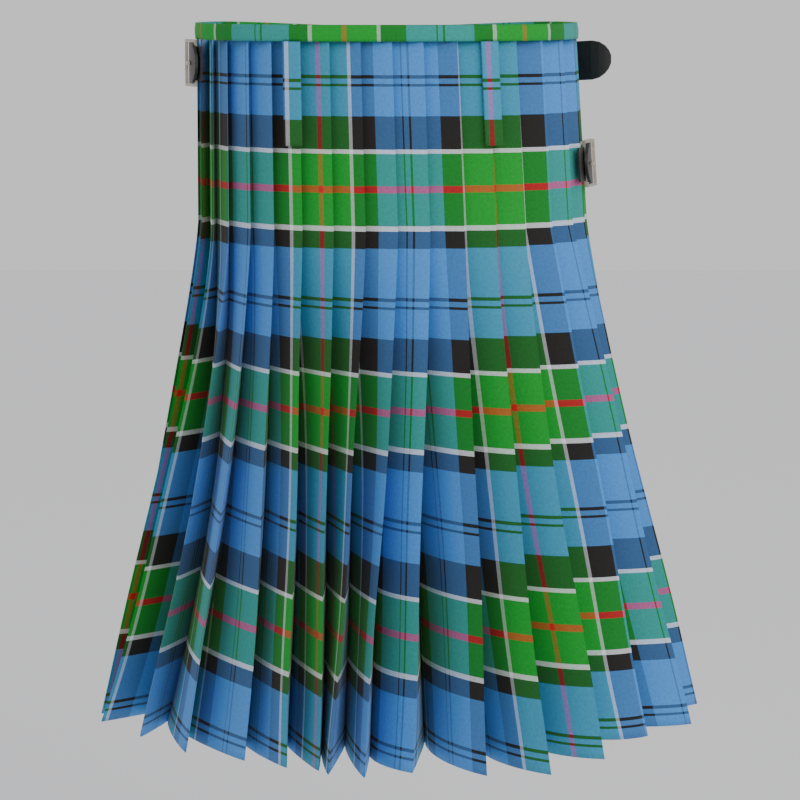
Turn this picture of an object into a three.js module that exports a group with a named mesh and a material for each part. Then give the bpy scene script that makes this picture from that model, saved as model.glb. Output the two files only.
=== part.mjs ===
// A worn tartan kilt, in millimetres. +Z is up, the pleated back faces -Y and the wearer's right is +X.
// The origin is the centre of the waist, level with the top edge of the waistband at the back.
//
// The cloth is one long length wound round the waist: an over apron across the front, the pleated
// back, and an under apron behind the over apron. A narrow band is sewn along the top of each
// stretch, two loops of the same cloth lie on the back, and three straps with buckles close the wrap.

import * as THREE from "three";

// ---------------------------------------------------------------------------------------------
// Driving dimensions

const GAP = 0.3; // clearance left between pieces that touch
const HALF_GAP = GAP / 2;
const CLOTH = 1.2; // thickness of the pleated cloth
const APRON_CLOTH = 1.6; // thickness of the aprons, which have turned edges
const BAND_HEIGHT = 12.4; // height of the waistband
const BAND_THICKNESS = 3.0; // the band is folded over the raw top edge
const CLOTH_TOP = -BAND_HEIGHT - GAP; // where the cloth starts under the band
const FELL = -160; // below here the pleats are no longer stitched down
const HEM = -572; // the hem hangs at this height all round
const FRONT_DIP = 5; // how much lower the waist sits at the front than at the back
const UNDER_INSET = 5.4; // how far the under apron lies inside the over apron
const ROUNDNESS = 2.25; // exponent of the ring's section: 2 is an ellipse, more is squarer

// Girth of the garment at four heights: reach to the left, right, back and front of the axis.
const RINGS = [
  { z: 0, left: 152.5, right: 152.5, back: 120, front: 106 },
  { z: -160, left: 153, right: 163, back: 126, front: 118 },
  { z: -360, left: 180, right: 192, back: 140, front: 136 },
  { z: -572, left: 220, right: 234, back: 150, front: 156 },
];

// One row per knife pleat, from the wearer's left side round the back to the right side.
// fell: girth distance of its folded edge from the centre back where it is stitched down.
// edgeX, edgeY: its folded edge at the hem. tuckX, tuckY: the crease behind it at the hem.
// belly: how far its face swells out at the hem. lag: how late its edge leaves the fell line.
const PLEATS = [
  { fell: -237, edgeX: -226, edgeY: 50, tuckX: -191, tuckY: 57, belly: 4, lag: 1.2 },
  { fell: -213, edgeX: -236, edgeY: 24, tuckX: -195, tuckY: 38, belly: 4, lag: 1.2 },
  { fell: -189, edgeX: -239, edgeY: -3, tuckX: -197, tuckY: 20, belly: 4, lag: 1.2 },
  { fell: -165, edgeX: -235, edgeY: -30, tuckX: -194, tuckY: 3, belly: 4, lag: 1.3 },
  { fell: -141, edgeX: -198, edgeY: -80, tuckX: -181, tuckY: -28, belly: 5, lag: 1.35 },
  { fell: -117, edgeX: -160, edgeY: -129, tuckX: -167, tuckY: -64, belly: 5, lag: 1.35 },
  { fell: -95, edgeX: -110, edgeY: -153, tuckX: -117, tuckY: -94, belly: 6, lag: 1.3 },
  { fell: -71, edgeX: -77, edgeY: -174, tuckX: -81, tuckY: -100, belly: 6, lag: 1.2 },
  { fell: -46, edgeX: -53, edgeY: -183, tuckX: -52, tuckY: -104, belly: 3, lag: 1.2 },
  { fell: -21, edgeX: -43, edgeY: -194, tuckX: -33, tuckY: -107, belly: 3, lag: 1.25 },
  { fell: 4, edgeX: -17, edgeY: -203, tuckX: -12, tuckY: -109, belly: 4, lag: 1.3 },
  { fell: 29, edgeX: 20, edgeY: -189, tuckX: 31, tuckY: -95, belly: 27, lag: 1.3 },
  { fell: 56, edgeX: 79, edgeY: -197, tuckX: 72, tuckY: -107, belly: 22, lag: 1.0 },
  { fell: 82, edgeX: 126, edgeY: -194, tuckX: 112, tuckY: -101, belly: 24, lag: 1.2 },
  { fell: 108, edgeX: 172, edgeY: -148, tuckX: 150, tuckY: -78, belly: 22, lag: 1.25 },
  { fell: 136, edgeX: 212, edgeY: -77, tuckX: 180, tuckY: -42, belly: 22, lag: 1.0 },
  { fell: 165, edgeX: 249, edgeY: -38, tuckX: 199, tuckY: -4, belly: 12, lag: 1.0 },
  { fell: 195, edgeX: 263, edgeY: 30, tuckX: 208, tuckY: 32, belly: 6, lag: 1.1 },
  { fell: 225, edgeX: 252, edgeY: 62, tuckX: 206, tuckY: 60, belly: 5, lag: 1.1 },
];
const FELL_OVERLAP = 16; // how far each crease lies behind its edge while stitched down
const FELL_DEPTH = 9.5; // thickness of the stitched stack, edge to crease
const FOLD_WIDTH = 2.6; // width of a pressed fold, middle of cloth to middle of cloth
const FOLD_TIP = 1.2; // how far a folded edge's outer face stands outside the ring
const SEAM_LAP = 4; // how far the cloth runs on along the ring past a seam
const TUCK_LAG = 1.2; // how late the creases fall back from the fell
const TUCK_SWELL = 12; // how much further in the creases lie half way down

const FACE_PLACES = [0.35, 0.7]; // where the points inside a face lie, from its crease to its edge
const ROWS = [CLOTH_TOP, -86, FELL, -215, -285, -365, -445, -515, HEM]; // heights of the sections

// Where the wound cloth changes from one stretch to the next, as girth from the centre back.
const LEFT_SEAM = -284; // over apron to first pleat
const RIGHT_SEAM = 284; // last pleat to under apron
const UNDER_APRON_DIVES = { from: 318, to: 350 }; // where the under apron slips behind the other
const OVER_APRON_EDGE = 354; // free edge of the over apron, at the right of the front
const UNDER_APRON_EDGE = 570; // free edge of the under apron, hidden at the left of the front

const LOOP = { width: 14.5, top: CLOTH_TOP, bottom: -93, thickness: 2.0, girths: [-76, 83] };

const APRON_STEPS = 26; // flats along each apron
const BAND_STEPS = 30; // flats along each stretch of waistband
const STRAP_STEP = 14; // length of one flat along a strap
const STRAP_SETTLES = 20; // how far past the frame the strap takes to come down on to the cloth

const STRAP = { width: 32, thickness: 2.4, lying: 2.4, lifted: 5.7 };
const FRAME = { long: 25, inside: 32.8, bar: 2.4, thickness: 2.6, near: 2.8, far: 8.6 };
const CHAPE = { width: 27, thickness: 1.6, length: 17, out: 2.2 };
const PRONG = { width: 3.0, thickness: 1.8, out: 8.2 };

// One row per fastening. side: 1 on the wearer's right, -1 on the left. bar: girth of the frame's
// bar, where the chape ends. root: girth where the strap is sewn down. height: middle of the strap.
// tail: how far the strap goes on past the bar.
const FASTENINGS = [
  { name: "left_waist", side: -1, bar: 197, root: 318, height: -31.7, tail: 16 },
  { name: "right_waist", side: 1, bar: 302, root: 410, height: -33.6, tail: 0 },
  { name: "right_hip", side: 1, bar: 197, root: 410, height: -112, tail: 9 },
];
// The tail of the right waist strap springs clear of the hip. reach: x, y of its tip. heading: the
// way it points there. height: middle of the strap at its tip.
const SPRUNG_TAIL = { reach: [184, 24], heading: [1, -0.12], length: 62, height: -30 };

// ---------------------------------------------------------------------------------------------
// The ring: the outer surface of the cloth, before it is pleated

const mix = (a, b, t) => a + (b - a) * t;
/** Rises smoothly from 0 to 1 as a value goes from one end to the other. */
const easeIn = (from, to, value) => {
  const t = Math.min(1, Math.max(0, (value - from) / (to - from)));
  return t * t * (3 - 2 * t);
};
const mixPoint = (a, b, t) => [mix(a[0], b[0], t), mix(a[1], b[1], t)];

/** The reaches at a height, straight between the rows of RINGS. */
function reachesAt(z) {
  const last = RINGS.length - 1;
  let row = 0;
  while (row < last - 1 && z < RINGS[row + 1].z) {
    row += 1;
  }
  const upper = RINGS[row];
  const lower = RINGS[row + 1];
  const t = (z - upper.z) / (lower.z - upper.z);
  const reach = {};
  for (const side of ["left", "right", "back", "front"]) {
    reach[side] = mix(upper[side], lower[side], t);
  }
  return reach;
}

/** A point of the ring at an angle from the centre back, positive to the wearer's right. */
function ringAtAngle(z, angle) {
  const reach = reachesAt(z);
  const sine = Math.sin(angle);
  const cosine = Math.cos(angle);
  const power = 2 / ROUNDNESS;
  const middle = (reach.right - reach.left) / 2;
  const across = (reach.right + reach.left) / 2;
  const deep = cosine > 0 ? reach.back : reach.front;
  return [
    middle + across * Math.sign(sine) * Math.abs(sine) ** power,
    -deep * Math.sign(cosine) * Math.abs(cosine) ** power,
  ];
}

// Girth distance at the fell for each of many angles, so that a girth can be turned into an angle.
const ANGLE_STEPS = 1440;
const GIRTH_AT_STEP = [0];
for (let step = 1; step <= ANGLE_STEPS; step += 1) {
  const from = ringAtAngle(FELL, ((step - 1) / ANGLE_STEPS) * 2 * Math.PI);
  const to = ringAtAngle(FELL, (step / ANGLE_STEPS) * 2 * Math.PI);
  GIRTH_AT_STEP.push(GIRTH_AT_STEP[step - 1] + Math.hypot(to[0] - from[0], to[1] - from[1]));
}
const GIRTH = GIRTH_AT_STEP[ANGLE_STEPS];

/** The angle at which a girth distance from the centre back is reached. */
function angleAtGirth(girth) {
  const turns = Math.floor(girth / GIRTH);
  const rest = girth - turns * GIRTH;
  let step = 1;
  while (step < ANGLE_STEPS && GIRTH_AT_STEP[step] < rest) {
    step += 1;
  }
  const t = (rest - GIRTH_AT_STEP[step - 1]) / (GIRTH_AT_STEP[step] - GIRTH_AT_STEP[step - 1]);
  return ((step - 1 + t) / ANGLE_STEPS + turns) * 2 * Math.PI;
}

/** A point at a girth distance, moved out from the ring. */
function ringPoint(z, girth, out = 0) {
  const here = ringAtAngle(z, angleAtGirth(girth));
  if (out === 0) {
    return here;
  }
  const before = ringAtAngle(z, angleAtGirth(girth - 1));
  const after = ringAtAngle(z, angleAtGirth(girth + 1));
  const along = [after[0] - before[0], after[1] - before[1]];
  const size = Math.hypot(along[0], along[1]);
  return [here[0] + (out * along[1]) / size, here[1] - (out * along[0]) / size];
}

/** How much lower the waist is at a girth: nothing as far as the seams, FRONT_DIP at the front. */
function dipAt(girth) {
  const round = ((girth % GIRTH) + GIRTH) % GIRTH;
  const fromBack = Math.min(round, GIRTH - round);
  return FRONT_DIP * easeIn(RIGHT_SEAM, GIRTH / 2, fromBack);
}

// ---------------------------------------------------------------------------------------------
// Solids

/** A closed geometry from points and triangles. */
function solid(points, triangles) {
  const geometry = new THREE.BufferGeometry();
  geometry.setAttribute("position", new THREE.Float32BufferAttribute(points.flat(), 3));
  geometry.setIndex(triangles.flat());
  geometry.computeVertexNormals();
  return geometry;
}

/**
 * A closed solid from sections with the same number of points, one above the other. Each section
 * runs anticlockwise seen from above and is made of two sides with as many points each, so that the
 * caps are the strips between them.
 */
function loftedWall(sections) {
  const count = sections[0].length;
  const half = count / 2;
  const last = sections.length - 1;
  const triangles = [];
  for (let row = 0; row < last; row += 1) {
    for (let k = 0; k < count; k += 1) {
      const next = (k + 1) % count;
      const a = row * count + k;
      const b = row * count + next;
      const c = (row + 1) * count + next;
      const d = (row + 1) * count + k;
      triangles.push([a, d, c], [a, c, b]);
    }
  }
  for (let k = 0; k < half - 1; k += 1) {
    const pair = [k, k + 1, count - 2 - k, count - 1 - k];
    triangles.push([pair[0], pair[1], pair[2]], [pair[0], pair[2], pair[3]]);
    const [a, b, c, d] = pair.map((index) => last * count + index);
    triangles.push([a, c, b], [a, d, c]);
  }
  return solid(sections.flat(), triangles);
}

/** The two faces of a cloth wall: the middle line moved half the thickness to either side. */
function thicken(line, thickness) {
  const right = [];
  const left = [];
  for (let k = 0; k < line.length; k += 1) {
    const before = line[Math.max(k - 1, 0)];
    const here = line[k];
    const after = line[Math.min(k + 1, line.length - 1)];
    let inward = [here[0] - before[0], here[1] - before[1]];
    let onward = [after[0] - here[0], after[1] - here[1]];
    const sizes = [Math.hypot(...inward), Math.hypot(...onward)];
    inward = sizes[0] > 0 ? inward.map((v) => v / sizes[0]) : onward.map((v) => v / sizes[1]);
    onward = sizes[1] > 0 ? onward.map((v) => v / sizes[1]) : inward;
    const sum = [inward[0] + onward[0], inward[1] + onward[1]];
    const reach = thickness / (sum[0] ** 2 + sum[1] ** 2);
    const offset = [sum[1] * reach, -sum[0] * reach];
    right.push([here[0] + offset[0], here[1] + offset[1], here[2]]);
    left.push([here[0] - offset[0], here[1] - offset[1], here[2]]);
  }
  return right.concat(left.reverse());
}

/** A cloth wall: the middle line at each height, lowest last, thickened and lofted. */
function clothWall(lineAt, heights, thickness) {
  return loftedWall(heights.map((z) => thicken(lineAt(z), thickness)));
}

// ---------------------------------------------------------------------------------------------
// The pleated back

/** How far down the free part of the pleats a height is: 0 at the fell, 1 at the hem. */
function fallAt(z) {
  return Math.max(0, (FELL - z) / (FELL - HEM));
}

const unit = (vector) => {
  const size = Math.hypot(vector[0], vector[1]);
  return [vector[0] / size, vector[1] / size];
};

/** The three points of a fold whose two legs come from the points before and after its tip. */
function fold(before, tip, after, turn) {
  const legIn = unit([tip[0] - before[0], tip[1] - before[1]]);
  const legOut = unit([tip[0] - after[0], tip[1] - after[1]]);
  const axis = unit([legIn[0] + legOut[0], legIn[1] + legOut[1]]);
  const side = [-axis[1] * turn, axis[0] * turn];
  const half = FOLD_WIDTH / 2;
  const corner = (sign) => [
    tip[0] - axis[0] * half + sign * side[0] * half,
    tip[1] - axis[1] * half + sign * side[1] * half,
  ];
  return [corner(-1), tip, corner(1)];
}

/** The folded edge and the crease behind it of one pleat at a height. */
function pleatAt(pleat, z) {
  const fall = fallAt(z);
  const level = Math.max(z, FELL);
  const edge = ringPoint(level, pleat.fell);
  const tuck = ringPoint(level, pleat.fell - FELL_OVERLAP, -FELL_DEPTH);
  const swell = (TUCK_SWELL * 4 * fall * (1 - fall)) / Math.hypot(...tuck);
  const hung = mixPoint(tuck, [pleat.tuckX, pleat.tuckY], fall ** TUCK_LAG);
  return {
    edge: mixPoint(edge, [pleat.edgeX, pleat.edgeY], fall ** pleat.lag),
    tuck: [hung[0] - tuck[0] * swell, hung[1] - tuck[1] * swell],
    belly: pleat.belly * fall,
  };
}

/** Points inside a pleat's face, on the curve from its crease to its edge that swells out. */
function faceBetween(from, to, belly, places) {
  const along = unit([to[0] - from[0], to[1] - from[1]]);
  const middle = mixPoint(from, to, 0.5);
  const control = [middle[0] + along[1] * belly, middle[1] - along[0] * belly];
  return places.map((u) => mixPoint(mixPoint(from, control, u), mixPoint(control, to, u), u));
}

/** The middle line of the pleated cloth at a height, from the left seam to the right seam. */
function pleatedLine(z) {
  const pleats = PLEATS.map((pleat) => pleatAt(pleat, z));
  const onSeam = (girth) => ringPoint(z, girth);
  const line = [LEFT_SEAM + HALF_GAP, LEFT_SEAM + SEAM_LAP].map(onSeam);
  const end = [RIGHT_SEAM - SEAM_LAP, RIGHT_SEAM - HALF_GAP].map(onSeam);
  pleats.forEach((pleat, index) => {
    const before = index === 0 ? line[1] : pleats[index - 1].tuck;
    const after = index === pleats.length - 1 ? end[0] : pleats[index + 1].edge;
    const edge = fold(before, pleat.edge, pleat.tuck, 1);
    const tuck = fold(pleat.edge, pleat.tuck, after, -1);
    line.push(...faceBetween(line[line.length - 1], edge[0], pleat.belly, FACE_PLACES));
    line.push(...edge, mixPoint(edge[2], tuck[0], 0.5), ...tuck);
  });
  line.push(mixPoint(line[line.length - 1], end[0], 0.5), ...end);
  return line.map(([x, y]) => [x, y, z]);
}

// ---------------------------------------------------------------------------------------------
// Aprons, bands and loops: plain stretches that follow the ring

const evenly = (from, to, steps) => Array.from({ length: steps + 1 }, (_, k) => mix(from, to, k / steps));

/**
 * A wall along the ring through the given girths, which rise. out is how far its middle lies
 * outside the ring, and each of the rows is a height, as functions of the girth.
 */
function ringWall({ girths, out, thickness, rows }) {
  const sections = rows.map((heightAt) => {
    const line = girths.map((girth) => {
      const z = heightAt(girth);
      return [...ringPoint(z, girth, out(girth)), z];
    });
    return thicken(line, thickness);
  });
  return loftedWall(sections);
}

const onRing = () => 0;
const bandBottom = (girth) => -BAND_HEIGHT - dipAt(girth);

/** The under apron leaves the ring just before the over apron's edge and lies inside it. */
function behindOverApron(girth) {
  return -UNDER_INSET * easeIn(UNDER_APRON_DIVES.from, UNDER_APRON_DIVES.to, girth);
}

function apron(from, to, out) {
  return ringWall({
    girths: evenly(from, to, APRON_STEPS),
    out,
    thickness: APRON_CLOTH,
    rows: [(girth) => bandBottom(girth) - GAP, ...ROWS.slice(1).map((z) => () => z)],
  });
}

function band(from, to, out) {
  return ringWall({
    girths: evenly(from, to, BAND_STEPS),
    out,
    thickness: BAND_THICKNESS,
    rows: [(girth) => -dipAt(girth), bandBottom],
  });
}

/** A belt loop: a flat strip of the cloth, lying on the stitched pleats. */
function beltLoop(girth) {
  return ringWall({
    girths: evenly(girth - LOOP.width / 2, girth + LOOP.width / 2, 3),
    out: () => FOLD_TIP + GAP + LOOP.thickness / 2,
    thickness: LOOP.thickness,
    rows: evenly(LOOP.top, LOOP.bottom, 2).map((z) => () => z),
  });
}

// ---------------------------------------------------------------------------------------------
// Fastenings: everything is laid out along the girth and then wrapped on to the ring

/** Half the height of a strap at a distance from its rounded tip. */
function halfWidthFromTip(distance) {
  const radius = STRAP.width / 2;
  return distance >= radius ? radius : Math.sqrt(radius ** 2 - (radius - distance) ** 2);
}

/** How far outside the ring a strap's middle lies at a distance in front of the frame's bar. */
function strapOut(distance) {
  const settled = easeIn(FRAME.long, FRAME.long + STRAP_SETTLES, distance);
  return mix(STRAP.lifted, STRAP.lying, settled);
}

/** The distances along a strap, measured on from its tip: close together where it is round. */
function strapStations(length) {
  const radius = STRAP.width / 2;
  const round = [0.02, 0.12, 0.3, 0.6, 1].map((share) => share * radius);
  return round.concat(evenly(radius, length, Math.round((length - radius) / STRAP_STEP)).slice(1));
}

/** A strap's place on the ring, or on its sprung tail: a point for a distance in front of the bar. */
function strapPoint(fastening, distance, z) {
  if (distance >= 0 || fastening.tail > 0) {
    return ringPoint(z, fastening.side * (fastening.bar + distance), strapOut(distance));
  }
  const start = ringPoint(z, fastening.bar, STRAP.lifted);
  const ahead = ringPoint(z, fastening.bar + 1, STRAP.lifted);
  const leaving = unit([start[0] - ahead[0], start[1] - ahead[1]]);
  const arriving = unit(SPRUNG_TAIL.heading);
  const pull = SPRUNG_TAIL.length * 0.4;
  const curve = new THREE.CubicBezierCurve(
    new THREE.Vector2(...start),
    new THREE.Vector2(start[0] + leaving[0] * pull, start[1] + leaving[1] * pull),
    new THREE.Vector2(SPRUNG_TAIL.reach[0] - arriving[0] * pull, SPRUNG_TAIL.reach[1] - arriving[1] * pull),
    new THREE.Vector2(...SPRUNG_TAIL.reach),
  );
  return curve.getPoint(-distance / SPRUNG_TAIL.length).toArray();
}

/** The strap, from its tip past the bar and the frame to where it is sewn down. */
function strap(fastening) {
  const tail = fastening.tail || SPRUNG_TAIL.length;
  const length = tail + fastening.root - fastening.bar;
  const rise = (distance) => {
    const share = fastening.tail ? 0 : Math.min(1, Math.max(0, -distance / SPRUNG_TAIL.length));
    return mix(fastening.height, SPRUNG_TAIL.height, share);
  };
  const stations = strapStations(length).map((station) => station - tail);
  if (fastening.side < 0) {
    stations.reverse();
  }
  const rows = [1, -1].map((sign) => {
    const line = stations.map((distance) => {
      const z = rise(distance) + sign * halfWidthFromTip(distance + tail);
      return [...strapPoint(fastening, distance, z), z];
    });
    return thicken(line, STRAP.thickness);
  });
  return loftedWall(rows);
}

/** The chape: the short leather tab that is sewn to the cloth and holds the frame. */
function chape(fastening) {
  const end = fastening.bar - GAP;
  const girths = [end - CHAPE.length, end].map((girth) => girth * fastening.side).sort((a, b) => a - b);
  return ringWall({
    girths: evenly(girths[0], girths[1], 3),
    out: () => CHAPE.out,
    thickness: CHAPE.thickness,
    rows: [1, -1].map((sign) => () => fastening.height + (sign * CHAPE.width) / 2),
  });
}

/** Carries a geometry laid out as x = girth past the bar, y = height, z = out on to the ring. */
function wrap(geometry, fastening) {
  const position = geometry.getAttribute("position");
  for (let k = 0; k < position.count; k += 1) {
    const girth = fastening.side * (fastening.bar + position.getX(k));
    const z = fastening.height + position.getY(k);
    const [x, y] = ringPoint(z, girth, position.getZ(k));
    position.setXYZ(k, x, y, z);
  }
  if (fastening.side < 0) {
    turnInsideOut(geometry);
  }
  geometry.computeVertexNormals();
  return geometry;
}

/** Swaps two corners of every triangle, which a mirrored copy needs to face outwards again. */
function turnInsideOut(geometry) {
  const plain = geometry.index ? geometry.toNonIndexed() : geometry;
  const position = plain.getAttribute("position");
  const corner = new THREE.Vector3();
  const other = new THREE.Vector3();
  for (let k = 0; k < position.count; k += 3) {
    corner.fromBufferAttribute(position, k + 1);
    other.fromBufferAttribute(position, k + 2);
    position.setXYZ(k + 1, other.x, other.y, other.z);
    position.setXYZ(k + 2, corner.x, corner.y, corner.z);
  }
  geometry.setIndex(null);
  geometry.setAttribute("position", position);
  geometry.deleteAttribute("uv");
  geometry.deleteAttribute("normal");
}

/** The frame: a rectangle of bar, its near side under the strap and its far side over it. */
function frame(fastening) {
  const outerHeight = FRAME.inside + 2 * FRAME.bar;
  const rectangle = (left, right, height, Kind) => {
    const path = new Kind();
    path.moveTo(left, -height / 2);
    path.lineTo(right, -height / 2);
    path.lineTo(right, height / 2);
    path.lineTo(left, height / 2);
    path.closePath();
    return path;
  };
  const shape = rectangle(0, FRAME.long, outerHeight, THREE.Shape);
  shape.holes.push(rectangle(FRAME.bar, FRAME.long - FRAME.bar, FRAME.inside, THREE.Path));
  const geometry = new THREE.ExtrudeGeometry(shape, { depth: FRAME.thickness, bevelEnabled: false });
  const position = geometry.getAttribute("position");
  for (let k = 0; k < position.count; k += 1) {
    const between = (position.getX(k) - FRAME.bar) / (FRAME.long - 2 * FRAME.bar);
    const middle = mix(FRAME.near, FRAME.far, Math.min(1, Math.max(0, between)));
    position.setZ(k, position.getZ(k) - FRAME.thickness / 2 + middle);
  }
  return wrap(geometry, fastening);
}

/** The prong: it lies on the strap and points at the far side of the frame. */
function prong(fastening) {
  const length = FRAME.long - FRAME.bar - GAP;
  const geometry = new THREE.BoxGeometry(length, PRONG.width, PRONG.thickness, 3);
  geometry.translate(length / 2, 0, PRONG.out);
  return wrap(geometry, fastening);
}

// ---------------------------------------------------------------------------------------------
// The kilt

const tartan = new THREE.MeshStandardMaterial({ color: 0x2f7d86, roughness: 0.9, metalness: 0 });
const leather = new THREE.MeshStandardMaterial({ color: 0x1d1c1a, roughness: 0.55, metalness: 0 });
const metal = new THREE.MeshStandardMaterial({ color: 0xa49a84, roughness: 0.35, metalness: 1 });

const kilt = new THREE.Group();

function add(name, geometry, material) {
  const mesh = new THREE.Mesh(geometry, material);
  mesh.name = name;
  kilt.add(mesh);
}

const leftSeam = GIRTH + LEFT_SEAM;
add("pleated_back", clothWall(pleatedLine, ROWS, CLOTH), tartan);
add("over_apron", apron(OVER_APRON_EDGE, leftSeam - HALF_GAP, onRing), tartan);
add("under_apron", apron(RIGHT_SEAM + HALF_GAP, UNDER_APRON_EDGE, behindOverApron), tartan);
add("waistband_back", band(LEFT_SEAM + HALF_GAP, RIGHT_SEAM - HALF_GAP, onRing), tartan);
add("waistband_over_apron", band(OVER_APRON_EDGE, leftSeam - HALF_GAP, onRing), tartan);
add("waistband_under_apron", band(RIGHT_SEAM + HALF_GAP, UNDER_APRON_EDGE, behindOverApron), tartan);
add("belt_loop_left", beltLoop(LOOP.girths[0]), tartan);
add("belt_loop_right", beltLoop(LOOP.girths[1]), tartan);
for (const fastening of FASTENINGS) {
  add(`strap_${fastening.name}`, strap(fastening), leather);
  add(`chape_${fastening.name}`, chape(fastening), leather);
  add(`buckle_${fastening.name}`, frame(fastening), metal);
  add(`prong_${fastening.name}`, prong(fastening), metal);
}

export default kilt;
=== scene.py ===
"""A worn tartan kilt, seen from behind: pleated back, aprons, waistband, loops and fastenings."""
import math

import bpy
import numpy as np
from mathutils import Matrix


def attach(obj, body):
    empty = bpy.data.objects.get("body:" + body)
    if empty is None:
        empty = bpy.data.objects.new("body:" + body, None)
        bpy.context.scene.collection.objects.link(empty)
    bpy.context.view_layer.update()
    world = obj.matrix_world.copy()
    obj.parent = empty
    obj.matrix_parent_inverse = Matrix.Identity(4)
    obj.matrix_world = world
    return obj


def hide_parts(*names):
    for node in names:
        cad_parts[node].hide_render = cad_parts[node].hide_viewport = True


bl_info = {
    "name": "Tartan kilt",
    "version": (1, 0, 0),
    "blender": (4, 5, 0),
    "location": "View3D > Sidebar > Kilt",
    "description": "Builds a worn pleated kilt piece by piece",
    "category": "Object",
}

# Lengths are metres and heights are measured up from the top edge of the waistband.
TOP = -0.0127
FELL = -0.160
HEM = -0.572
ROUNDNESS = 2.25
FRONT_DIP = 0.005
LEFT_SEAM = -0.284
RIGHT_SEAM = 0.284
OVER_APRON_EDGE = 0.354
UNDER_APRON_EDGE = 0.570
FELL_OVERLAP = 0.016
FELL_DEPTH = 0.0095
TUCK_LAG = 1.2
TUCK_SWELL = 0.012
SEAM_GAP = 0.0004

# Columns: height, reach left, reach right, reach back, reach front.
RINGS = np.array([
    (0.000, 0.1525, 0.1525, 0.120, 0.106),
    (-0.160, 0.153, 0.163, 0.126, 0.118),
    (-0.360, 0.180, 0.192, 0.140, 0.136),
    (-0.572, 0.220, 0.234, 0.150, 0.156),
])

# Columns, millimetres: girth at the fell, hem x and y of the folded edge, hem x and y of the
# crease behind it, how far its face swells, and how late the edge falls away from the fell.
PLEATS = np.array([
    (-237, -226, 50, -191, 57, 4, 1.2), (-213, -236, 24, -195, 38, 4, 1.2),
    (-189, -239, -3, -197, 20, 4, 1.2), (-165, -235, -30, -194, 3, 4, 1.3),
    (-141, -198, -80, -181, -28, 5, 1.35), (-117, -160, -129, -167, -64, 5, 1.35),
    (-95, -110, -153, -117, -94, 6, 1.3), (-71, -77, -174, -81, -100, 6, 1.2),
    (-46, -53, -183, -52, -104, 3, 1.2), (-21, -43, -194, -33, -107, 3, 1.25),
    (4, -17, -203, -12, -109, 4, 1.3), (29, 20, -189, 31, -95, 27, 1.3),
    (56, 79, -197, 72, -107, 22, 1.0), (82, 126, -194, 112, -101, 24, 1.2),
    (108, 172, -148, 150, -78, 22, 1.25), (136, 212, -77, 180, -42, 22, 1.0),
    (165, 249, -38, 199, -4, 12, 1.0), (195, 263, 30, 208, 32, 6, 1.1),
    (225, 252, 62, 206, 60, 5, 1.1),
])
CENTRE_PLEAT = 10  # row of PLEATS nearest the centre back
CENTRE_PHASE = 0.0935  # where in the warp sett its folded edge falls
PLEAT_ADVANCE = 0.0272  # how far along the warp sett each pleat moves on
REVEAL = 0.0248  # width of a pleat that shows at the fell
BAND_PHASE = 0.0625  # warp sett at the centre back of the waistband
BAND_WEFT = 0.1055  # the waistband is cut along a green bar of the weft
LOOP_GIRTHS = (-0.076, 0.083)
LOOP_RAISE = 0.0028  # how much higher the stripes lie on a loop than around it

BLUE = (0.070, 0.280, 0.690)
BLACK = (0.020, 0.018, 0.016)
GREEN = (0.008, 0.310, 0.030)
RED = (0.620, 0.018, 0.020)
WHITE = (0.830, 0.850, 0.860)

# The two thread counts: where each stripe starts, in metres along the sett, and its colour.
WARP_SETT = 0.149
WARP = ((0.0, WHITE), (0.003, GREEN), (0.027, RED), (0.031, GREEN), (0.055, WHITE), (0.058, BLACK),
        (0.078, BLUE), (0.1020, BLACK), (0.1035, BLUE), (0.1075, BLACK), (0.1090, BLUE),
        (0.133, BLACK))
WEFT_SETT = 0.172
WEFT = ((0.0, BLUE), (0.0381, BLACK), (0.0404, BLUE), (0.0446, BLACK), (0.0469, BLUE),
        (0.0698, BLACK), (0.0952, WHITE), (0.0985, GREEN), (0.1233, RED), (0.1287, GREEN),
        (0.1543, WHITE), (0.1580, BLACK), (0.1710, BLACK))


# ------------------------------------------------------------------------------------ the form

def ring_at_angle(z, angle):
    """Points of the waist-to-hem ring. Each half is a superellipse: x = middle + across
    sign(sin a) |sin a|^(2/n), y = -deep sign(cos a) |cos a|^(2/n), the reaches straight
    between the rows of RINGS."""
    left, right, back, front = (
        np.interp(-z, -RINGS[:, 0], RINGS[:, column]) for column in range(1, 5))
    sine = np.sin(angle)
    cosine = np.cos(angle)
    power = 2 / ROUNDNESS
    deep = np.where(cosine > 0, back, front)
    x = (right - left) / 2 + (right + left) / 2 * np.sign(sine) * np.abs(sine) ** power
    y = -deep * np.sign(cosine) * np.abs(cosine) ** power
    return np.stack([x, y], axis=-1)


ANGLES = np.linspace(0, 2 * math.pi, 1441)
_LAID = ring_at_angle(np.full(1441, FELL), ANGLES)
GIRTHS = np.concatenate([[0], np.cumsum(np.hypot(*np.diff(_LAID, axis=0).T))])
GIRTH = GIRTHS[-1]


def ring(z, girth, out=0.0):
    """The ring at a girth from the centre back, moved out along its normal."""
    z, girth, out = np.broadcast_arrays(z, girth, out)

    def at(distance):
        turns = np.floor(distance / GIRTH)
        return ring_at_angle(z, np.interp(distance - turns * GIRTH, GIRTHS, ANGLES)
                             + turns * 2 * math.pi)

    along = at(girth + 0.001) - at(girth - 0.001)
    along = along / np.linalg.norm(along, axis=-1, keepdims=True)
    return at(girth) + out[..., None] * np.stack([along[..., 1], -along[..., 0]], axis=-1)


def ease(start, end, value):
    """Smoothly from 0 to 1 between two values: 3t^2 - 2t^3."""
    t = np.clip((value - start) / (end - start), 0, 1)
    return t * t * (3 - 2 * t)


def dip(girth):
    """How much lower the waist is towards the middle of the front."""
    turned = np.mod(girth, GIRTH)
    return FRONT_DIP * ease(RIGHT_SEAM, GIRTH / 2, np.minimum(turned, GIRTH - turned))


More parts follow.
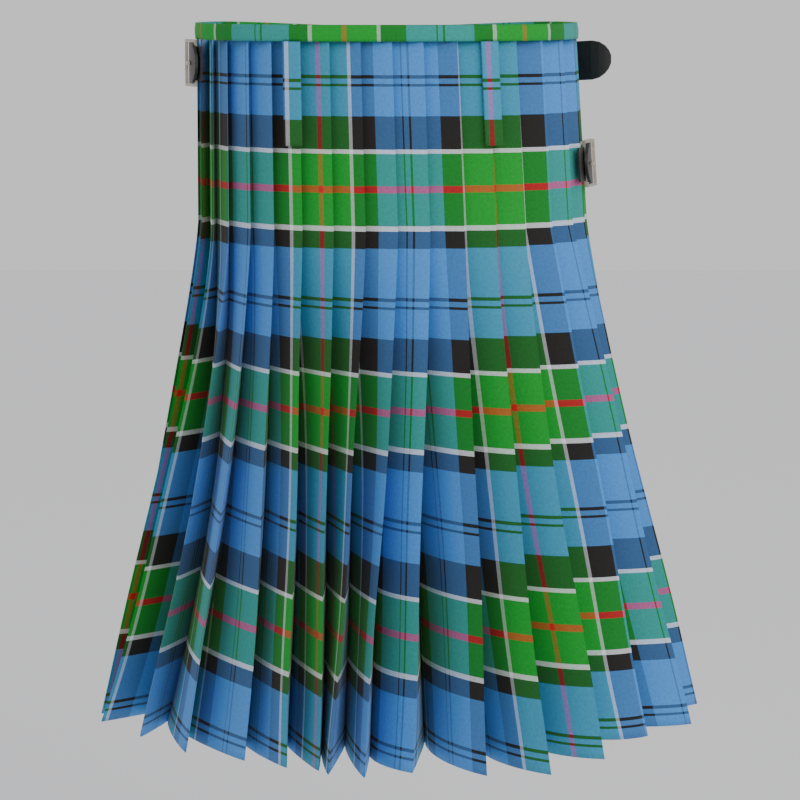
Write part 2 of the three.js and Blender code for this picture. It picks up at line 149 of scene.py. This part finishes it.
def mesh_from_grid(name, points, uv, thickness, material):
    """A sheet from a grid of points, rows downward, given its thickness by a modifier."""
    rows, columns = points.shape[:2]
    index = np.arange(rows * columns).reshape(rows, columns)
    faces = np.stack([index[:-1, :-1], index[1:, :-1], index[1:, 1:], index[:-1, 1:]], axis=-1)
    faces = faces.reshape(-1, 4)
    mesh = bpy.data.meshes.new(name)
    mesh.from_pydata(points.reshape(-1, 3).tolist(), [], faces.tolist())
    layer = mesh.uv_layers.new(name="cloth")
    layer.data.foreach_set("uv", uv.reshape(-1, 2)[faces.ravel()].ravel())
    mesh.shade_smooth()
    mesh.set_sharp_from_angle(angle=math.radians(50))
    mesh.materials.append(material)
    piece = bpy.data.objects.new(name, mesh)
    bpy.context.collection.objects.link(piece)
    wall = piece.modifiers.new("cloth", "SOLIDIFY")
    wall.thickness = thickness
    wall.offset = 0
    return piece


def finish_piece(piece, node, flat, held, **facts):
    """Ties a cloth piece to the frame and hides the imported part it stands in for."""
    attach(piece, "root")
    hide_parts(node)


def pleated_surface(sway):
    """Points and cloth coordinates of the pleats. Each face is a quadratic curve from the crease
    before it to its folded edge, swelling outward; each return is straight. Across the cloth, the
    stripes are counted from the folded edge, and what is left over is taken up in the crease."""
    z = np.concatenate([np.linspace(TOP, FELL, 14), np.linspace(FELL, HEM, 52)[1:]])
    fall = np.clip((FELL - z) / (FELL - HEM), 0, 1)
    level = np.maximum(z, FELL)
    previous = ring(z, LEFT_SEAM + SEAM_GAP)
    columns = [previous[:, None]]
    across = [np.full((len(z), 1), CENTRE_PHASE - PLEAT_ADVANCE * (CENTRE_PLEAT + 1.6))]
    face_places = np.linspace(0, 1, 11)[1:, None]
    return_places = np.linspace(0, 1, 6)[1:, None]
    for number, row in enumerate(PLEATS):
        fell, edge_x, edge_y, tuck_x, tuck_y, belly, lag = row / 1000
        lag = row[6]
        edge = ring(level, fell)
        edge = edge + (np.array([edge_x, edge_y]) - edge) * (fall ** lag)[:, None]
        edge[:, 0] += sway * fall * np.sin(9 * fall + 2.3 * number)
        start = ring(level, fell - FELL_OVERLAP, -FELL_DEPTH)
        tuck = start + (np.array([tuck_x, tuck_y]) - start) * (fall ** TUCK_LAG)[:, None]
        size = np.linalg.norm(start, axis=1, keepdims=True)
        tuck = tuck - start / size * (TUCK_SWELL * 4 * fall * (1 - fall))[:, None]
        run = edge - previous
        run = run / np.maximum(np.linalg.norm(run, axis=1, keepdims=True), 1e-6)
        control = (previous + edge) / 2
        control = control + np.stack([run[:, 1], -run[:, 0]], axis=1) * (belly * fall)[:, None]
        u = face_places[None]
        p, c, e = previous[:, None], control[:, None], edge[:, None]
        face = (1 - u) ** 2 * p + 2 * u * (1 - u) * c + u ** 2 * e
        back = e + (tuck[:, None] - e) * return_places[None]
        phase = CENTRE_PHASE + PLEAT_ADVANCE * (number - CENTRE_PLEAT)
        steps = np.linalg.norm(np.diff(np.concatenate([p, face], axis=1), axis=1), axis=2)
        to_edge = steps.sum(axis=1, keepdims=True) - np.cumsum(steps, axis=1)
        depth = np.linalg.norm(tuck - edge, axis=1)[:, None]
        columns += [face, back]
        across += [phase - to_edge, phase + depth * return_places[:, 0][None]]
        previous = tuck
    end = ring(z, RIGHT_SEAM - SEAM_GAP)[:, None]
    columns.append((previous[:, None] + end) / 2)
    columns.append(end)
    last = CENTRE_PHASE + PLEAT_ADVANCE * (len(PLEATS) - CENTRE_PLEAT)
    across += [np.full((len(z), 1), last), np.full((len(z), 1), last + 0.03)]
    flat_points = np.concatenate(columns, axis=1)
    heights = np.broadcast_to(z[:, None, None], flat_points.shape[:2] + (1,))
    uv = np.stack([np.concatenate(across, axis=1), -heights[..., 0]], axis=-1)
    return np.concatenate([flat_points, heights], axis=2), uv


def wrapped(girths, heights, out, phase, weft=0.0, wave=0.0):
    """A stretch along the ring: heights is rows by girths. Low, broad waves grow to the hem."""
    fall = np.clip((FELL - heights) / (FELL - HEM), 0, 1)
    bulge = out + wave * fall * (np.sin(girths * 31 + 0.6) + 0.5 * np.sin(girths * 57))[None]
    flat_points = ring(heights, girths[None], bulge)
    across = np.broadcast_to(girths[None] + phase, heights.shape)
    uv = np.stack([across, weft - heights], axis=-1)
    return np.concatenate([flat_points, heights[..., None]], axis=2), uv


# ----------------------------------------------------------------------------------- materials

def chart(nodes, links, value, sett, stripes):
    """The colour of a thread: its place along the sett, looked up in the thread count."""
    divide = nodes.new("ShaderNodeMath")
    divide.operation = "DIVIDE"
    divide.inputs[1].default_value = sett
    part = nodes.new("ShaderNodeMath")
    part.operation = "FRACT"
    ramp = nodes.new("ShaderNodeValToRGB")
    ramp.color_ramp.interpolation = "CONSTANT"
    stops = ramp.color_ramp.elements
    stops.remove(stops[1])
    stops[0].position = 0
    stops[0].color = (*stripes[0][1], 1)
    for start, colour in stripes[1:]:
        stops.new(start / sett).color = (*colour, 1)
    links.new(value, divide.inputs[0])
    links.new(divide.outputs[0], part.inputs[0])
    links.new(part.outputs[0], ramp.inputs[0])
    return ramp.outputs[0]


def tartan_group():
    """Cloth coordinates to the colour of the weave and the height of its twill lines."""
    group = bpy.data.node_groups.new("Tartan weave", "ShaderNodeTree")
    group.interface.new_socket("Cloth", in_out="INPUT", socket_type="NodeSocketVector")
    group.interface.new_socket("Weft Share", in_out="INPUT", socket_type="NodeSocketFloat")
    group.interface.new_socket("Colour", in_out="OUTPUT", socket_type="NodeSocketColor")
    group.interface.new_socket("Height", in_out="OUTPUT", socket_type="NodeSocketFloat")
    nodes = group.nodes
    links = group.links
    entry = nodes.new("NodeGroupInput")
    leave = nodes.new("NodeGroupOutput")
    split = nodes.new("ShaderNodeSeparateXYZ")
    links.new(entry.outputs["Cloth"], split.inputs[0])
    warp = chart(nodes, links, split.outputs[0], WARP_SETT, WARP)
    weft = chart(nodes, links, split.outputs[1], WEFT_SETT, WEFT)
    blend = nodes.new("ShaderNodeMix")
    blend.data_type = "RGBA"
    links.new(entry.outputs["Weft Share"], blend.inputs[0])
    links.new(warp, blend.inputs[6])
    links.new(weft, blend.inputs[7])
    twill = nodes.new("ShaderNodeTexWave")
    twill.bands_direction = "DIAGONAL"
    twill.inputs["Scale"].default_value = 260
    links.new(entry.outputs["Cloth"], twill.inputs["Vector"])
    fuzz = nodes.new("ShaderNodeTexNoise")
    fuzz.inputs["Scale"].default_value = 420
    fuzz.inputs["Detail"].default_value = 4
    links.new(entry.outputs["Cloth"], fuzz.inputs["Vector"])
    shade = nodes.new("ShaderNodeMapRange")
    shade.inputs["To Min"].default_value = 0.78
    shade.inputs["To Max"].default_value = 1.2
    links.new(fuzz.outputs[0], shade.inputs[0])
    tint = nodes.new("ShaderNodeVectorMath")
    tint.operation = "SCALE"
    links.new(blend.outputs[2], tint.inputs[0])
    links.new(shade.outputs[0], tint.inputs["Scale"])
    total = nodes.new("ShaderNodeMath")
    links.new(twill.outputs["Fac"], total.inputs[0])
    links.new(fuzz.outputs[0], total.inputs[1])
    links.new(tint.outputs[0], leave.inputs["Colour"])
    links.new(total.outputs[0], leave.inputs["Height"])
    return group


def tartan(settings):
    """Brushed wool twill in the tartan."""
    known = bpy.data.materials.get("kilt_cloth")
    if known:
        return known
    material = bpy.data.materials.new("kilt_cloth")
    material.use_nodes = True
    nodes = material.node_tree.nodes
    links = material.node_tree.links
    shader = nodes["Principled BSDF"]
    shader.inputs["Roughness"].default_value = 0.92
    shader.inputs["Specular IOR Level"].default_value = 0.2
    shader.inputs["Sheen Weight"].default_value = 0.08
    place = nodes.new("ShaderNodeUVMap")
    place.uv_map = "cloth"
    weave = nodes.new("ShaderNodeGroup")
    weave.node_tree = tartan_group()
    weave.inputs["Weft Share"].default_value = settings.weft_share
    bump = nodes.new("ShaderNodeBump")
    bump.inputs["Strength"].default_value = 0.25
    bump.inputs["Distance"].default_value = 0.0004
    links.new(place.outputs[0], weave.inputs["Cloth"])
    links.new(weave.outputs["Colour"], shader.inputs["Base Color"])
    links.new(weave.outputs["Height"], bump.inputs["Height"])
    links.new(bump.outputs[0], shader.inputs["Normal"])
    return material


def grained(name, colour, metallic, roughness, scale):
    """Leather or metal: a colour broken by fine noise, which also moves its roughness."""
    material = bpy.data.materials.new(name)
    material.use_nodes = True
    nodes = material.node_tree.nodes
    links = material.node_tree.links
    shader = nodes["Principled BSDF"]
    shader.inputs["Metallic"].default_value = metallic
    place = nodes.new("ShaderNodeTexCoord")
    noise = nodes.new("ShaderNodeTexNoise")
    noise.inputs["Scale"].default_value = scale
    ramp = nodes.new("ShaderNodeValToRGB")
    ramp.color_ramp.elements[0].color = (*[part * 0.7 for part in colour], 1)
    ramp.color_ramp.elements[1].color = (*[part * 1.4 for part in colour], 1)
    rough = nodes.new("ShaderNodeMapRange")
    rough.inputs["To Min"].default_value = roughness - 0.1
    rough.inputs["To Max"].default_value = roughness + 0.15
    links.new(place.outputs["Object"], noise.inputs["Vector"])
    links.new(noise.outputs[0], ramp.inputs[0])
    links.new(noise.outputs[0], rough.inputs[0])
    links.new(ramp.outputs[0], shader.inputs["Base Color"])
    links.new(rough.outputs[0], shader.inputs["Roughness"])
    return material


# ----------------------------------------------------------------------------- the add-on itself

class KiltSettings(bpy.types.PropertyGroup):
    """Sizes that can be changed before the pieces are built."""

    cloth: bpy.props.FloatProperty(
        name="Cloth", description="Thickness of the cloth", default=0.0012, unit="LENGTH")
    band: bpy.props.FloatProperty(
        name="Waistband", description="Thickness of the waistband", default=0.003, unit="LENGTH")
    sway: bpy.props.FloatProperty(
        name="Sway", description="How far the folded edges wander", default=0.0014, unit="LENGTH")
    weft_share: bpy.props.FloatProperty(
        name="Weft share", description="How much of the colour the weft gives", default=0.64,
        subtype="FACTOR")


class KILT_OT_pleats(bpy.types.Operator):
    """The stitched and then free knife pleats round the back."""

    bl_idname = "kilt.pleats"
    bl_label = "Pleated back"

    def execute(self, context):
        settings = context.scene.kilt
        points, uv = pleated_surface(settings.sway)
        piece = mesh_from_grid("Pleated_back", points, uv, settings.cloth, tartan(settings))
        finish_piece(piece, "pleated_back", (2.0, 0.56), "hung")
        return {"FINISHED"}


class KILT_OT_aprons(bpy.types.Operator):
    """The over apron and the under apron behind it."""

    bl_idname = "kilt.aprons"
    bl_label = "Aprons"

    def execute(self, context):
        settings = context.scene.kilt
        stretches = (
            ("Over_apron", "over_apron", OVER_APRON_EDGE, GIRTH + LEFT_SEAM, 0.0),
            ("Under_apron", "under_apron", RIGHT_SEAM, UNDER_APRON_EDGE, 0.0054),
        )
        for name, node, start, end, inset in stretches:
            girths = np.linspace(start + SEAM_GAP, end - SEAM_GAP, 120)
            rows = np.linspace(0, 1, 48)[:, None]
            top = TOP - dip(girths)[None]
            heights = top + (HEM - top) * rows
            out = -inset * ease(0.318, 0.350, girths)[None] * np.ones_like(heights)
            wave = 0.0008 if inset else 0.0016
            points, uv = wrapped(girths, heights, out, 0.02, wave=wave)
            piece = mesh_from_grid(name, points, uv, settings.cloth, tartan(settings))
            width = 0.30 if inset == 0 else 0.35
            finish_piece(piece, node, (width, 0.56), "hung")
        return {"FINISHED"}


class KILT_OT_bands(bpy.types.Operator):
    """The waistband on each stretch, cut along a green bar of the cloth."""

    bl_idname = "kilt.bands"
    bl_label = "Waistband"

    def execute(self, context):
        settings = context.scene.kilt
        stretches = (
            ("Waistband_back", "waistband_back", LEFT_SEAM, RIGHT_SEAM, 0.568),
            ("Waistband_over", "waistband_over_apron", OVER_APRON_EDGE, GIRTH + LEFT_SEAM, 0.242),
            ("Waistband_under", "waistband_under_apron", RIGHT_SEAM, UNDER_APRON_EDGE, 0.286),
        )
        for name, node, start, end, length in stretches:
            girths = np.linspace(start + SEAM_GAP, end - SEAM_GAP, 140)
            rows = np.linspace(0, 1, 6)[:, None]
            heights = -dip(girths)[None] - 0.0124 * rows
            inset = 0.0054 * ease(0.318, 0.350, girths) if node.endswith("under_apron") else 0.0
            out = 0.0006 * np.sin(rows * math.pi) - inset + np.zeros_like(heights)
            points, uv = wrapped(girths, heights, out, BAND_PHASE, BAND_WEFT)
            piece = mesh_from_grid(name, points, uv, settings.band, tartan(settings))
            finish_piece(piece, node, (length, 0.0124), "stretched")
        return {"FINISHED"}


class KILT_OT_loops(bpy.types.Operator):
    """The two belt loops, stitched flat on the pleats."""

    bl_idname = "kilt.loops"
    bl_label = "Belt loops"

    def execute(self, context):
        settings = context.scene.kilt
        for middle, side in zip(LOOP_GIRTHS, ("left", "right")):
            girths = np.linspace(middle - 0.00725, middle + 0.00725, 12)
            heights = np.linspace(TOP, -0.093, 24)[:, None] * np.ones((1, 12))
            out = np.full_like(heights, 0.0025)
            number = CENTRE_PLEAT + (middle - 0.004) / REVEAL
            phase = CENTRE_PHASE + PLEAT_ADVANCE * (number - CENTRE_PLEAT) - middle
            points, uv = wrapped(girths, heights, out, phase, -LOOP_RAISE)
            piece = mesh_from_grid(f"Belt_loop_{side}", points, uv, 0.0019, tartan(settings))
            finish_piece(piece, f"belt_loop_{side}", (0.0145, 0.080), "stretched")
        return {"FINISHED"}


class KILT_OT_fastenings(bpy.types.Operator):
    """Gives the straps, chapes, buckles and prongs their leather and metal."""

    bl_idname = "kilt.fastenings"
    bl_label = "Straps and buckles"

    def execute(self, context):
        leather = grained("kilt_leather", (0.018, 0.017, 0.015), 0.0, 0.45, 600)
        metal = grained("kilt_metal", (0.46, 0.42, 0.34), 1.0, 0.32, 250)
        for name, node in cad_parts.items():
            if name.startswith(("strap_", "chape_", "buckle_", "prong_")):
                node.data.materials.clear()
                soft = name.startswith(("strap_", "chape_"))
                node.data.materials.append(leather if soft else metal)
        return {"FINISHED"}


class KILT_OT_stage(bpy.types.Operator):
    """Pale ground, soft light from the front and upper right, and the camera."""

    bl_idname = "kilt.stage"
    bl_label = "Stage"

    def execute(self, context):
        scene = context.scene
        bpy.ops.mesh.primitive_plane_add(size=14, location=(0, 0, -0.9))
        floor = context.object
        pale = bpy.data.materials.new("floor")
        pale.use_nodes = True
        pale.node_tree.nodes["Principled BSDF"].inputs["Base Color"].default_value = (
            0.93, 0.93, 0.94, 1)
        floor.data.materials.append(pale)
        world = bpy.data.worlds.new("studio")
        world.use_nodes = True
        world.node_tree.nodes["Background"].inputs[0].default_value = (0.92, 0.92, 0.94, 1)
        world.node_tree.nodes["Background"].inputs[1].default_value = 0.85
        scene.world = world
        data = bpy.data.lights.new("key", "AREA")
        data.energy = 26
        data.size = 1.4
        key = bpy.data.objects.new("key", data)
        key.location = (1.1, -1.9, 0.9)
        key.rotation_euler = (math.radians(62), 0, math.radians(30))
        scene.collection.objects.link(key)
        data = bpy.data.cameras.new("camera")
        data.lens = 132.6
        data.sensor_width = 36
        camera = bpy.data.objects.new("camera", data)
        camera.location = (0.011, -2.4, 0.038)
        camera.rotation_euler = (math.radians(90 - 8.206), 0, 0)
        scene.collection.objects.link(camera)
        scene.camera = camera
        return {"FINISHED"}


class KILT_PT_panel(bpy.types.Panel):
    """Lists the sizes and the pieces."""

    bl_label = "Kilt"
    bl_space_type = "VIEW_3D"
    bl_region_type = "UI"
    bl_category = "Kilt"

    def draw(self, context):
        for name in ("cloth", "band", "sway", "weft_share"):
            self.layout.prop(context.scene.kilt, name)
        for name in ("pleats", "aprons", "bands", "loops", "fastenings", "stage"):
            self.layout.operator(f"kilt.{name}")


CLASSES = (KiltSettings, KILT_OT_pleats, KILT_OT_aprons, KILT_OT_bands, KILT_OT_loops,
           KILT_OT_fastenings, KILT_OT_stage, KILT_PT_panel)


def register():
    for part in CLASSES:
        bpy.utils.register_class(part)
    bpy.types.Scene.kilt = bpy.props.PointerProperty(type=KiltSettings)


def unregister():
    del bpy.types.Scene.kilt
    for part in reversed(CLASSES):
        bpy.utils.unregister_class(part)


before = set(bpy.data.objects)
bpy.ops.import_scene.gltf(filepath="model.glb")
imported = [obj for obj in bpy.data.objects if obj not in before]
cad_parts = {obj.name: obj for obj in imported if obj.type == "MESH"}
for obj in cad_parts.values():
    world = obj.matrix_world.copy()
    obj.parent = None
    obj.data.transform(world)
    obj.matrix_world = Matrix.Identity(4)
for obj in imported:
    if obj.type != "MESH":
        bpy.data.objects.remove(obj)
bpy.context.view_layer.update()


def main():
    register()
    bpy.ops.kilt.pleats()
    bpy.ops.kilt.aprons()
    bpy.ops.kilt.bands()
    bpy.ops.kilt.loops()
    bpy.ops.kilt.fastenings()
    bpy.ops.kilt.stage()


if __name__ == "__main__":
    main()
